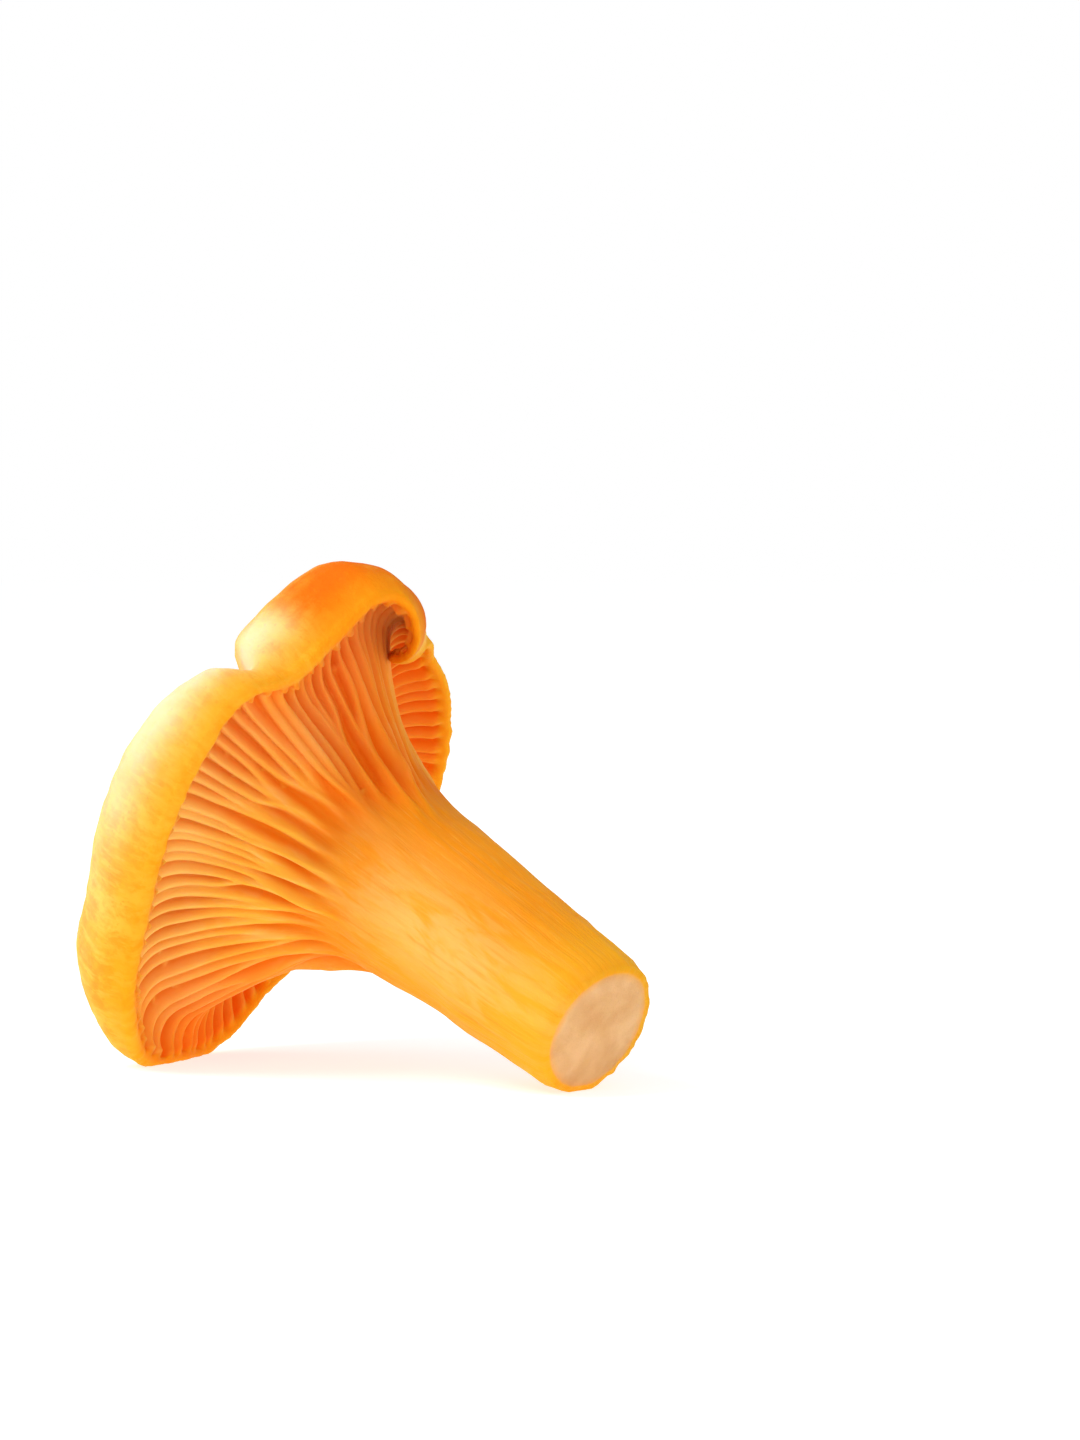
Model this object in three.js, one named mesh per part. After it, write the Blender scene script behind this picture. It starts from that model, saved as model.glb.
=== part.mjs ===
import * as THREE from 'three';

// Chanterelle, one grown piece, lying at rest on its cap rim and its cut stem.
// Millimetres, +Z up. It is shaped upright first, with the stem on the z axis and
// the cut face at height 0, then laid down. Bearings are degrees round the stem.

// Stem: radius at each height above the cut face.
const STEM_HEIGHTS = [0, 1.5, 6.6, 19.6, 27];
const STEM_RADII = [7.3, 7.9, 8.25, 8.9, 9.5];
const STEM_OVAL = 0.03;
const STEM_THREE_LOBE = 0.02;

// Top of the cap: height of the bottom of the shallow hollow.
const HOLLOW_HEIGHT = 45.5;
// The calm middle of the top averages the margin over these bearings either side.
const CALM_OFFSETS = [-36, -24, -12, 0, 12, 24, 36];

// Pleated underside: crest height, and where the pleats fade in above the stem.
const PLEAT_RISE = 0.45;
const PLEAT_FADE_START = 27;
const PLEAT_FADE_END = 33;
// Pleats reach full height where the margin rolls at least this wide.
const PLEAT_ROOM = 3.6;

// Columns round the stem: closer together where the margin curls.
const COLUMN_SPANS = [
  { from: -100, to: 50, count: 36 },
  { from: 50, to: 100, count: 20 },
  { from: 100, to: 260, count: 32 },
];

// Rows along the outline, from the middle of the cut face to the middle of the hollow.
const CUT_ROWS = 2;
const STEM_ROWS = 6;
const FLANK_ROWS = 11;
const ROLL_ROWS = 8;
const LIP_ROWS = 2;
const BACK_ROWS = 8;
const TOP_ROWS = 7;

// Laying down: spin about the stem, lean over, turn on the floor, then settle.
const SPIN = 113.6;
const LEAN = 63.62;
const TURN = 138.69;
const FOOT_FLATTENING = 0.45;

// Cap margin at each bearing: distance out and height of the brim, where the flank
// starts to roll; angle the margin rolls through; radius of that roll; slope of the
// flank at the brim; flesh thickness at the brim and at the lip.
const MARGIN = [
  [-100, 23.8, 45.2, 92, 3.6, 35, 3.2, 1.6],
  [-86, 23.7, 45.0, 108, 4.0, 36, 4.7, 1.9],
  [-70, 20.5, 45.3, 120, 4.4, 38, 6.2, 2.1],
  [-46, 16.3, 45.4, 126, 4.6, 40, 6.5, 2.2],
  [-24, 16.3, 45.0, 128, 4.6, 40, 6.4, 2.2],
  [-2, 18.0, 44.4, 128, 4.4, 40, 6.0, 2.2],
  [10, 19.6, 44.1, 128, 4.0, 40, 4.4, 2.2],
  [17, 20.0, 42.9, 122, 3.6, 42, 4.4, 2.1],
  [23, 20.0, 41.5, 112, 2.6, 44, 3.6, 1.9],
  [29, 17.7, 41.7, 112, 3.2, 46, 8.5, 2.0],
  [37, 17.1, 42.5, 118, 3.8, 46, 8.8, 2.1],
  [46, 18.4, 43.0, 122, 4.0, 46, 8.0, 2.1],
  [53, 20.3, 43.8, 130, 4.0, 46, 6.2, 1.9],
  [60, 20.5, 44.9, 146, 4.0, 44, 3.8, 1.6],
  [67, 20.5, 46.2, 190, 3.4, 40, 2.2, 1.3],
  [74, 20.7, 46.8, 250, 2.6, 36, 1.6, 1.1],
  [81, 20.3, 47.7, 286, 2.0, 34, 1.4, 1.1],
  [89, 20.0, 49.3, 276, 1.7, 34, 1.4, 1.1],
  [96, 18.4, 50.4, 165, 2.2, 36, 1.4, 1.1],
  [106, 14.7, 50.6, 112, 4.4, 40, 1.8, 1.2],
  [122, 12.4, 50.6, 104, 6.4, 42, 2.0, 1.2],
  [140, 13.1, 50.5, 98, 6.8, 42, 2.2, 1.2],
  [158, 15.4, 50.5, 88, 6.8, 40, 2.4, 1.3],
  [185, 19.2, 50.1, 72, 6.4, 36, 2.8, 1.4],
  [213, 16.7, 50.1, 80, 6.4, 38, 2.3, 1.3],
  [228, 16.3, 49.9, 92, 6.4, 40, 2.2, 1.3],
  [240, 19.5, 48.8, 98, 5.8, 40, 2.2, 1.3],
  [249, 22.4, 47.3, 94, 4.8, 38, 2.6, 1.4],
];
const [BEARING, BRIM_OUT, BRIM_UP, ROLL, CURL, SLOPE, FLESH, LIP] = [0, 1, 2, 3, 4, 5, 6, 7];

const radians = (degrees) => (degrees * Math.PI) / 180;

// Value of one margin column at a bearing, smooth all the way round.
function marginAt(bearing, column) {
  const count = MARGIN.length;
  const station = (index) => MARGIN[((index % count) + count) % count];
  const place = (index) => station(index)[BEARING] + 360 * Math.floor(index / count);
  let angle = bearing;
  while (angle < MARGIN[0][BEARING]) angle += 360;
  while (angle >= MARGIN[0][BEARING] + 360) angle -= 360;
  let k = 0;
  while (place(k + 1) <= angle) k += 1;
  const span = place(k + 1) - place(k);
  const t = (angle - place(k)) / span;
  const value = (index) => station(index)[column];
  const slopeAt = (index) =>
    (value(index + 1) - value(index - 1)) / (place(index + 1) - place(index - 1));
  const a = value(k);
  const b = value(k + 1);
  const ta = slopeAt(k) * span;
  const tb = slopeAt(k + 1) * span;
  const t2 = t * t;
  const t3 = t2 * t;
  return (2 * t3 - 3 * t2 + 1) * a + (t3 - 2 * t2 + t) * ta
    + (3 * t2 - 2 * t3) * b + (t3 - t2) * tb;
}

function bezier(p0, p1, p2, p3, t) {
  const s = 1 - t;
  return s * s * s * p0 + 3 * s * s * t * p1 + 3 * s * t * t * p2 + t * t * t * p3;
}

function stemRadius(height) {
  let k = 0;
  while (k < STEM_HEIGHTS.length - 2 && height > STEM_HEIGHTS[k + 1]) k += 1;
  const t = (height - STEM_HEIGHTS[k]) / (STEM_HEIGHTS[k + 1] - STEM_HEIGHTS[k]);
  return STEM_RADII[k] + t * (STEM_RADII[k + 1] - STEM_RADII[k]);
}

function smooth(x) {
  const t = Math.min(1, Math.max(0, x));
  return t * t * (3 - 2 * t);
}

// Where the top of the cap meets the rolled margin, and its slope there.
function shoulderAt(bearing) {
  const slope = radians(marginAt(bearing, SLOPE));
  const flesh = marginAt(bearing, FLESH);
  return {
    out: marginAt(bearing, BRIM_OUT) - flesh * Math.sin(slope),
    up: marginAt(bearing, BRIM_UP) + flesh * Math.cos(slope),
    slope,
  };
}

function calmShoulderAt(bearing) {
  const calm = { out: 0, up: 0, slope: 0 };
  for (const offset of CALM_OFFSETS) {
    const near = shoulderAt(bearing + offset);
    calm.out += near.out / CALM_OFFSETS.length;
    calm.up += near.up / CALM_OFFSETS.length;
    calm.slope += near.slope / CALM_OFFSETS.length;
  }
  return calm;
}

// Point on the way from a shoulder down into the hollow, t from 0 to 1.
function towardsHollow(shoulder, t) {
  const pull = 0.38 * shoulder.out;
  const { out, up, slope } = shoulder;
  return {
    out: bezier(out, out - pull * Math.cos(slope), 0.42 * out, 0, t),
    up: bezier(up, up - pull * Math.sin(slope), HOLLOW_HEIGHT, HOLLOW_HEIGHT, t),
  };
}

// Outline of the mushroom at one bearing: a list of { out, up } from axis to axis.
function outlineAt(bearing) {
  const angle = radians(bearing);
  const oval = 1 + STEM_OVAL * Math.cos(2 * angle - 0.6)
    + STEM_THREE_LOBE * Math.cos(3 * angle + 1.0);
  const start = radians(marginAt(bearing, SLOPE));
  const roll = radians(marginAt(bearing, ROLL));
  const curl = marginAt(bearing, CURL);
  const lip = marginAt(bearing, LIP);
  const flesh = Math.max(marginAt(bearing, FLESH), lip + 0.1);
  const end = start - roll;
  const brimOut = marginAt(bearing, BRIM_OUT);
  const brimUp = marginAt(bearing, BRIM_UP);
  const outline = [];
  for (let i = 0; i < CUT_ROWS; i += 1) {
    outline.push({ out: (i / CUT_ROWS) * STEM_RADII[0] * oval * 0.97, up: 0 });
  }
  const stemTop = STEM_HEIGHTS[STEM_HEIGHTS.length - 1];
  for (let i = 0; i < STEM_ROWS; i += 1) {
    const up = stemTop * (i / STEM_ROWS) ** 1.25;
    outline.push({ out: stemRadius(up) * oval, up });
  }
  // flank: swells from the stem to the brim
  const neck = stemRadius(stemTop) * oval;
  const rise = 0.5 * (brimUp - stemTop);
  const spread = (0.42 * (brimOut - neck)) / Math.cos(start);
  for (let i = 0; i < FLANK_ROWS; i += 1) {
    const t = i / FLANK_ROWS;
    outline.push({
      out: bezier(neck, neck + 0.4, brimOut - spread * Math.cos(start), brimOut, t),
      up: bezier(stemTop, stemTop + rise, brimUp - spread * Math.sin(start), brimUp, t),
    });
  }
  // margin: the flank rolls over; the back of the flesh follows at a distance
  const rolled = (t, thickness) => {
    const now = start - roll * t;
    return {
      out: brimOut + curl * (Math.sin(start) - Math.sin(now)) - thickness * Math.sin(now),
      up: brimUp + curl * (Math.cos(now) - Math.cos(start)) + thickness * Math.cos(now),
    };
  };
  for (let i = 0; i <= ROLL_ROWS; i += 1) {
    outline.push(rolled(i / ROLL_ROWS, 0));
  }
  for (let i = 1; i <= LIP_ROWS; i += 1) {
    const turn = (Math.PI * i) / (LIP_ROWS + 1);
    const across = (lip / 2) * (1 - Math.cos(turn));
    const ahead = (lip / 2) * Math.sin(turn);
    const edge = rolled(1, across);
    outline.push({
      out: edge.out + ahead * Math.cos(end),
      up: edge.up + ahead * Math.sin(end),
    });
  }
  for (let i = BACK_ROWS; i >= 0; i -= 1) {
    const t = i / BACK_ROWS;
    const fill = Math.sin((Math.PI / 2) * Math.min(1, (1 - t) * 1.6));
    outline.push(rolled(t, lip + (flesh - lip) * fill));
  }
  // top: in from the brim to the shallow hollow; the folds of the margin die out inwards
  const near = shoulderAt(bearing);
  const calm = calmShoulderAt(bearing);
  for (let i = 1; i <= TOP_ROWS; i += 1) {
    const t = i / TOP_ROWS;
    const m = smooth((t - 0.05) / 0.6);
    const sharpPoint = towardsHollow(near, t);
    const calmPoint = towardsHollow(calm, t);
    outline.push({
      out: (1 - m) * sharpPoint.out + m * calmPoint.out,
      up: (1 - m) * sharpPoint.up + m * calmPoint.up,
    });
  }
  return outline;
}

// Height of a pleat at a row: none on the stem, full under the cap, none at the lip,
// and lower inside a tight curl.
function pleatAt(row, up, curl) {
  const first = CUT_ROWS + STEM_ROWS;
  const last = first + FLANK_ROWS + ROLL_ROWS;
  if (row <= first || row >= last) return 0;
  const fade = smooth((up - PLEAT_FADE_START) / (PLEAT_FADE_END - PLEAT_FADE_START));
  const edge = Math.min(1, (last - row) / 3);
  const room = Math.min(1, (curl / PLEAT_ROOM) ** 2);
  return PLEAT_RISE * fade * edge * room;
}

function columnBearings() {
  const bearings = [];
  for (const span of COLUMN_SPANS) {
    for (let i = 0; i < span.count; i += 1) {
      bearings.push(span.from + ((span.to - span.from) * i) / span.count);
    }
  }
  bearings.push(COLUMN_SPANS[0].from + 360);
  return bearings;
}

// Turn an even outline round the stem, then carry every point to its own bearing's outline.
function grow() {
  const bearings = columnBearings();
  const even = outlineAt(185).map((p) => new THREE.Vector2(Math.max(p.out, 0), p.up));
  const rows = even.length;
  const body = new THREE.LatheGeometry(even, bearings.length - 1);
  const position = body.attributes.position;
  for (let column = 0; column < bearings.length; column += 1) {
    const wrapped = column === bearings.length - 1 ? 0 : column;
    const bearing = bearings[wrapped];
    const outline = outlineAt(bearing);
    const angle = radians(bearing);
    const curl = marginAt(bearing, CURL);
    for (let row = 0; row < rows; row += 1) {
      let { out, up } = outline[row];
      const pleat = wrapped % 2 === 0 ? pleatAt(row, up, curl) : 0;
      if (pleat > 0) {
        const before = outline[row - 1];
        const after = outline[row + 1];
        const run = Math.hypot(after.out - before.out, after.up - before.up);
        out += (pleat * (after.up - before.up)) / run;
        up -= (pleat * (after.out - before.out)) / run;
      }
      position.setXYZ(column * rows + row, out * Math.cos(angle), out * Math.sin(angle), up);
    }
  }
  return body;
}

// Lay the mushroom down, centre it over the origin and flatten its feet on the floor.
function layDown(body) {
  body.rotateZ(radians(SPIN));
  body.rotateY(radians(LEAN));
  body.rotateZ(radians(TURN));
  body.computeBoundingBox();
  const box = body.boundingBox;
  const centreX = (box.min.x + box.max.x) / 2;
  const centreY = (box.min.y + box.max.y) / 2;
  body.translate(-centreX, -centreY, -box.min.z - FOOT_FLATTENING);
  const position = body.attributes.position;
  for (let i = 0; i < position.count; i += 1) {
    if (position.getZ(i) < 0) position.setZ(i, 0);
  }
  return body;
}

const body = layDown(grow());
body.computeVertexNormals();

const chanterelle = new THREE.Mesh(
  body,
  new THREE.MeshStandardMaterial({ color: 0xf2a238, roughness: 0.6, metalness: 0 }),
);
chanterelle.name = 'chanterelle';

const part = new THREE.Group();
part.name = 'chanterelle_part';
part.add(chanterelle);

export default part;
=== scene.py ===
"""A chanterelle mushroom lying on the rim of its cap and the edge of its cut stem."""

import logging
import math
from collections.abc import Sequence
from dataclasses import dataclass, field
from enum import Enum, auto

import bmesh
import bpy
import numpy as np
from mathutils import Matrix, Vector, noise


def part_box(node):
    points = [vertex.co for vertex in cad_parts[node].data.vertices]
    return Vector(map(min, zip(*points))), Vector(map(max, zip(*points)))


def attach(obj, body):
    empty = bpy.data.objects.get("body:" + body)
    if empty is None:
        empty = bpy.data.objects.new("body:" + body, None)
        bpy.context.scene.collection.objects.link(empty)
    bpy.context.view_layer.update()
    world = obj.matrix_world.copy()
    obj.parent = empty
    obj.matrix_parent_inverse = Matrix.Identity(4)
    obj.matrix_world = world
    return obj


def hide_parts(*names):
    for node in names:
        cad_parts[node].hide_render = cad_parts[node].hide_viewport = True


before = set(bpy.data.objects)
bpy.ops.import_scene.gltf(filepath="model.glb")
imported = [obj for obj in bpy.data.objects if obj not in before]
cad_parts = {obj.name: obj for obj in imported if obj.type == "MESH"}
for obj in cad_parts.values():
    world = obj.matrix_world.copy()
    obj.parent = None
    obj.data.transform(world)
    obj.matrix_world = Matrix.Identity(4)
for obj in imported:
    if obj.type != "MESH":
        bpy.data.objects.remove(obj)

log = logging.getLogger("chanterelle")

MM = 0.001
FIBRE_RADIUS = 20.0
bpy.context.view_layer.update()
Array = np.ndarray
Colour = tuple[float, float, float]


def smooth(x: Array | float) -> Array:
    """Ease from 0 to 1, flat at both ends."""
    t = np.clip(x, 0.0, 1.0)
    return t * t * (3.0 - 2.0 * t)


def bezier(p0: Array, p1: Array, p2: Array, p3: Array, t: float) -> Array:
    """Point at t on the cubic curve with these four values."""
    s = 1.0 - t
    return s**3 * p0 + 3 * s * s * t * p1 + 3 * s * t * t * p2 + t**3 * p3


def srgb(red: int, green: int, blue: int) -> Colour:
    """A screen colour, 0 to 255 a channel, as a linear colour."""

    def linear(value: int) -> float:
        """One channel."""
        v = value / 255.0
        return v / 12.92 if v <= 0.04045 else ((v + 0.055) / 1.055) ** 2.4

    return linear(red), linear(green), linear(blue)


@dataclass(frozen=True)
class Side:
    """One side of the mushroom, in degrees: its middle, and where 0.37 of it is left."""

    middle: float
    half: float

    def share(self, bearing: Array) -> Array:
        """1 at the middle, falling away to 0 on both sides."""
        off = (bearing - self.middle + 180.0) % 360.0 - 180.0
        return np.exp(-((off / self.half) ** 2))


@dataclass(frozen=True)
class Arc:
    """A stretch of the margin, in degrees: where it begins and ends, and how gently."""

    start: float
    rise: float
    end: float
    fall: float

    def share(self, bearing: Array) -> Array:
        """1 on the stretch, easing to 0 at both ends."""
        begun = smooth((bearing - self.start) / self.rise)
        return begun * (1 - smooth((bearing - self.end) / self.fall))


# ---------------------------------------------------------------- shape


class Zone(Enum):
    """Stretches of the outline, from the middle of the cut to the middle of the hollow."""

    CUT = auto()
    STEM = auto()
    FLANK = auto()
    ROLL = auto()
    LIP = auto()
    BACK = auto()
    TOP = auto()


@dataclass(frozen=True)
class Station:
    """The margin of the cap at one bearing, in millimetres and degrees.

    brim_out and brim_up place the point where the flank starts to roll over, roll is
    the angle it rolls through, curl the radius of that roll, slope the flank's slope
    where it starts, flesh and lip the thickness there and at the lip.
    """

    bearing: float
    brim_out: float
    brim_up: float
    roll: float
    curl: float
    slope: float
    flesh: float
    lip: float


@dataclass(frozen=True)
class Margin:
    """The wavy margin of the cap, all the way round."""

    stations: tuple[Station, ...] = (
        Station(-100, 23.8, 45.2, 92, 3.6, 35, 3.2, 1.6),
        Station(-86, 23.7, 45.0, 108, 4.0, 36, 4.7, 1.9),
        Station(-70, 20.5, 45.3, 120, 4.4, 38, 6.2, 2.1),
        Station(-46, 16.3, 45.4, 126, 4.6, 40, 6.5, 2.2),
        Station(-24, 16.3, 45.0, 128, 4.6, 40, 6.4, 2.2),
        Station(-2, 18.0, 44.4, 128, 4.4, 40, 6.0, 2.2),
        Station(10, 19.6, 44.1, 128, 4.0, 40, 4.4, 2.2),
        Station(17, 20.0, 42.9, 122, 3.6, 42, 4.4, 2.1),
        Station(23, 20.0, 41.5, 112, 2.6, 44, 3.6, 1.9),
        Station(29, 17.7, 41.7, 112, 3.2, 46, 8.5, 2.0),
        Station(37, 17.1, 42.5, 118, 3.8, 46, 8.8, 2.1),
        Station(46, 18.4, 43.0, 122, 4.0, 46, 8.0, 2.1),
        Station(53, 20.3, 43.8, 130, 4.0, 46, 6.2, 1.9),
        Station(60, 20.5, 44.9, 146, 4.0, 44, 3.8, 1.6),
        Station(67, 20.5, 46.2, 190, 3.4, 40, 2.2, 1.3),
        Station(74, 20.7, 46.8, 250, 2.6, 36, 1.6, 1.1),
        Station(81, 20.3, 47.7, 286, 2.0, 34, 1.4, 1.1),
        Station(89, 20.0, 49.3, 276, 1.7, 34, 1.4, 1.1),
        Station(96, 18.4, 50.4, 165, 2.2, 36, 1.4, 1.1),
        Station(106, 14.7, 50.6, 112, 4.4, 40, 1.8, 1.2),
        Station(122, 12.4, 50.6, 104, 6.4, 42, 2.0, 1.2),
        Station(140, 13.1, 50.5, 98, 6.8, 42, 2.2, 1.2),
        Station(158, 15.4, 50.5, 88, 6.8, 40, 2.4, 1.3),
        Station(185, 19.2, 50.1, 72, 6.4, 36, 2.8, 1.4),
        Station(213, 16.7, 50.1, 80, 6.4, 38, 2.3, 1.3),
        Station(228, 16.3, 49.9, 92, 6.4, 40, 2.2, 1.3),
        Station(240, 19.5, 48.8, 98, 5.8, 40, 2.2, 1.3),
        Station(249, 22.4, 47.3, 94, 4.8, 38, 2.6, 1.4),
    )

    def at(self, name: str, bearing: Array) -> Array:
        """Value of one field at each bearing, smooth all the way round.

        Args:
            name: the field of Station.
            bearing: bearings in degrees, any shape.

        Returns:
            The values, in the shape of bearing.
        """
        place = np.array([s.bearing for s in self.stations], float)
        value = np.array([getattr(s, name) for s in self.stations], float)
        xs = np.concatenate([place[-2:] - 360, place, place[:2] + 360])
        ys = np.concatenate([value[-2:], value, value[:2]])
        lean = np.zeros_like(ys)
        lean[1:-1] = (ys[2:] - ys[:-2]) / (xs[2:] - xs[:-2])
        x = (np.asarray(bearing, float) - place[0]) % 360 + place[0]
        k = np.clip(np.searchsorted(xs, x, side="right") - 1, 1, len(xs) - 3)
        span = xs[k + 1] - xs[k]
        t = (x - xs[k]) / span
        return (
            (2 * t**3 - 3 * t**2 + 1) * ys[k]
            + (t**3 - 2 * t**2 + t) * span * lean[k]
            + (3 * t**2 - 2 * t**3) * ys[k + 1]
            + (t**3 - t**2) * span * lean[k + 1]
        )


@dataclass(frozen=True)
class StemForm:
    """The stem below the cap: radius at each height above the cut face."""

    heights: tuple[float, ...] = (0.0, 1.5, 6.6, 19.6, 27.0)
    radii: tuple[float, ...] = (7.3, 7.9, 8.25, 8.9, 9.5)
    oval: float = 0.03
    three_lobe: float = 0.02

    @property
    def top(self) -> float:
        """Height where the flank of the cap takes over."""
        return self.heights[-1]

    def wander(self, bearing: Array) -> Array:
        """How far out of round the stem is at each bearing, as a factor."""
        angle = np.radians(bearing)
        return (
            1
            + self.oval * np.cos(2 * angle - 0.6)
            + self.three_lobe * np.cos(3 * angle + 1.0)
        )

    def radius(self, up: float, bearing: Array) -> Array:
        """Radius at one height, at each bearing."""
        return np.interp(up, self.heights, self.radii) * self.wander(bearing)


@dataclass(frozen=True)
class Outline:
    """The mushroom's outline at any bearing, as rows of points from axis to axis."""

    margin: Margin = field(default_factory=Margin)
    stem: StemForm = field(default_factory=StemForm)
    cut_share: float = 0.97
    stem_crowding: float = 1.25
    neck_flare: float = 0.4
    neck_rise: float = 0.5
    flank_pull: float = 0.42
    back_fill: float = 1.6
    shoulder_pull: float = 0.38
    hollow_pull: float = 0.42
    hollow_up: float = 45.5
    calm_from: float = 0.05
    calm_over: float = 0.6
    calm_reach: float = 36.0
    cut_rows: int = 6
    stem_rows: int = 16
    flank_rows: int = 56
    roll_rows: int = 28
    lip_rows: int = 6
    back_rows: int = 12
    top_rows: int = 14

    def rows(self) -> list[tuple[Zone, float]]:
        """Zone and place along it, 0 to 1, of each row."""
        plan = [(Zone.CUT, i / self.cut_rows) for i in range(self.cut_rows)]
        plan += [(Zone.STEM, i / self.stem_rows) for i in range(self.stem_rows)]
        plan += [(Zone.FLANK, i / self.flank_rows) for i in range(self.flank_rows)]
        plan += [(Zone.ROLL, i / self.roll_rows) for i in range(self.roll_rows + 1)]
        plan += [(Zone.LIP, i / (self.lip_rows + 1)) for i in range(1, self.lip_rows + 1)]
        plan += [(Zone.BACK, i / self.back_rows) for i in range(self.back_rows, -1, -1)]
        plan += [(Zone.TOP, i / self.top_rows) for i in range(1, self.top_rows + 1)]
        return plan

    def _rolled(self, t: float, thickness: Array, bearing: Array) -> tuple[Array, Array]:
        """Point on the rolled margin, t from brim to lip, a thickness above the gills."""
        start = np.radians(self.margin.at("slope", bearing))
        now = start - np.radians(self.margin.at("roll", bearing)) * t
        curl = self.margin.at("curl", bearing)
        out = self.margin.at("brim_out", bearing)
        up = self.margin.at("brim_up", bearing)
        return (
            out + curl * (np.sin(start) - np.sin(now)) - thickness * np.sin(now),
            up + curl * (np.cos(now) - np.cos(start)) + thickness * np.cos(now),
        )

    def _shoulder(self, bearing: Array) -> tuple[Array, Array, Array]:
        """Where the top of the cap meets the margin: distance out, height, slope."""
        slope = np.radians(self.margin.at("slope", bearing))
        flesh = self._flesh(bearing)
        out = self.margin.at("brim_out", bearing) - flesh * np.sin(slope)
        up = self.margin.at("brim_up", bearing) + flesh * np.cos(slope)
        return out, up, slope

    def _flesh(self, bearing: Array) -> Array:
        """Thickness of the flesh at the brim."""
        return np.maximum(
            self.margin.at("flesh", bearing), self.margin.at("lip", bearing) + 0.1
        )

    def _inwards(
        self, out: Array, up: Array, slope: Array, t: float
    ) -> tuple[Array, Array]:
        """Point on the way from a shoulder down into the hollow."""
        pull = self.shoulder_pull * out
        low = 0 * up + self.hollow_up
        return (
            bezier(out, out - pull * np.cos(slope), self.hollow_pull * out, 0 * out, t),
            bezier(up, up - pull * np.sin(slope), low, low, t),
        )

    def point(self, zone: Zone, t: float, bearing: Array) -> tuple[Array, Array]:
        """One row of the outline.

        Args:
            zone: the stretch of the outline.
            t: place along it, 0 to 1.
            bearing: bearing of each point of the row, in degrees.

        Returns:
            Distance out from the stem's axis and height above the cut, in millimetres.
        """
        margin, stem = self.margin, self.stem
        if zone is Zone.CUT:
            return t * stem.radius(0.0, bearing) * self.cut_share, 0.0 * bearing
        if zone is Zone.STEM:
            up = stem.top * t**self.stem_crowding
            return stem.radius(up, bearing), 0.0 * bearing + up
        if zone is Zone.FLANK:
            start = np.radians(margin.at("slope", bearing))
            out = margin.at("brim_out", bearing)
            up = margin.at("brim_up", bearing)
            neck = stem.radius(stem.top, bearing)
            low = 0 * up + stem.top
            rise = self.neck_rise * (up - stem.top)
            pull = self.flank_pull * (out - neck) / np.cos(start)
            return (
                bezier(neck, neck + self.neck_flare, out - pull * np.cos(start), out, t),
                bezier(low, stem.top + rise, up - pull * np.sin(start), up, t),
            )
        if zone is Zone.ROLL:
            return self._rolled(t, 0.0 * bearing, bearing)
        if zone is Zone.LIP:
            lip = margin.at("lip", bearing)
            end = np.radians(margin.at("slope", bearing) - margin.at("roll", bearing))
            turn = math.pi * t
            out, up = self._rolled(1.0, lip / 2 * (1 - math.cos(turn)), bearing)
            ahead = lip / 2 * math.sin(turn)
            return out + ahead * np.cos(end), up + ahead * np.sin(end)
        if zone is Zone.BACK:
            lip = margin.at("lip", bearing)
            fill = math.sin(math.pi / 2 * min(1.0, (1 - t) * self.back_fill))
            return self._rolled(t, lip + (self._flesh(bearing) - lip) * fill, bearing)
        sharp = self._inwards(*self._shoulder(bearing), t)
        shoulders = [
            self._shoulder(bearing + k * self.calm_reach / 3) for k in range(-3, 4)
        ]
        calm_shoulder = [sum(parts) / 7 for parts in zip(*shoulders)]
        calm = self._inwards(*calm_shoulder, t)
        mix = smooth((t - self.calm_from) / self.calm_over)
        out, up = ((1 - mix) * a + mix * b for a, b in zip(sharp, calm))
        return out, up


@dataclass(frozen=True)
class RestingPose:
    """How the grown mushroom is laid down, in degrees, and how its feet are flattened."""

    spin: float = 113.6
    lean: float = 63.62
    turn: float = 138.69
    foot_flattening: float = 0.45

    def rotation(self) -> Matrix:
        """Turn from growing upright to lying down."""
        return (
            Matrix.Rotation(math.radians(self.turn), 3, "Z")
            @ Matrix.Rotation(math.radians(self.lean), 3, "Y")
            @ Matrix.Rotation(math.radians(self.spin), 3, "Z")
        )

    def shift(self, points: Array) -> Array:
        """Move that centres turned points on the solid's box and sets them on the floor."""
        low, high = (np.array(corner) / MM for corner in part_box("chanterelle"))
        move = (low + high) / 2 - (points.min(0) + points.max(0)) / 2
        move[2] = low[2] - points[:, 2].min() - self.foot_flattening
        return move

    def turned(self, points: Array) -> Array:
        """Points of the upright mushroom, turned."""
        return points @ np.array(self.rotation()).T


@dataclass
class Skin:
    """The mushroom's surface as a grid: a row per outline point, a column per meridian.

    place holds the points of the upright mushroom in millimetres, facing the way each
    point's surface faces, bearing each point's bearing, label each column's place
    round the mushroom from 0 to 1, down each row's way from the neck of the stem,
    0, to the lip, 1, and length the distance along the surface from the middle of the
    cut, in millimetres.
    """

    rows: list[tuple[Zone, float]]
    label: Array
    bearing: Array
    place: Array
    facing: Array
    down: Array
    length: Array

    def in_zone(self, *zones: Zone) -> Array:
        """Rows that lie in these zones, as indices."""
        return np.array([i for i, (zone, _) in enumerate(self.rows) if zone in zones])

    def column_gap(self) -> Array:
        """Distance between neighbouring columns at each point, in millimetres."""
        step = np.roll(self.place, -1, 1) - np.roll(self.place, 1, 1)
        return np.linalg.norm(step, axis=2) / 2

    def from_lip(self) -> Array:
        """Distance along the surface from the lip, minus on the gilled side."""
        lip = self.in_zone(Zone.LIP)
        return self.length - self.length[lip[len(lip) // 2]]

    def fibre(self) -> Array:
        """Place in a space where the mushroom's fibres run straight along z."""
        angle = np.radians(self.bearing)
        across = FIBRE_RADIUS * np.cos(angle), FIBRE_RADIUS * np.sin(angle)
        return np.stack([*across, self.length], 2)


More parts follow.
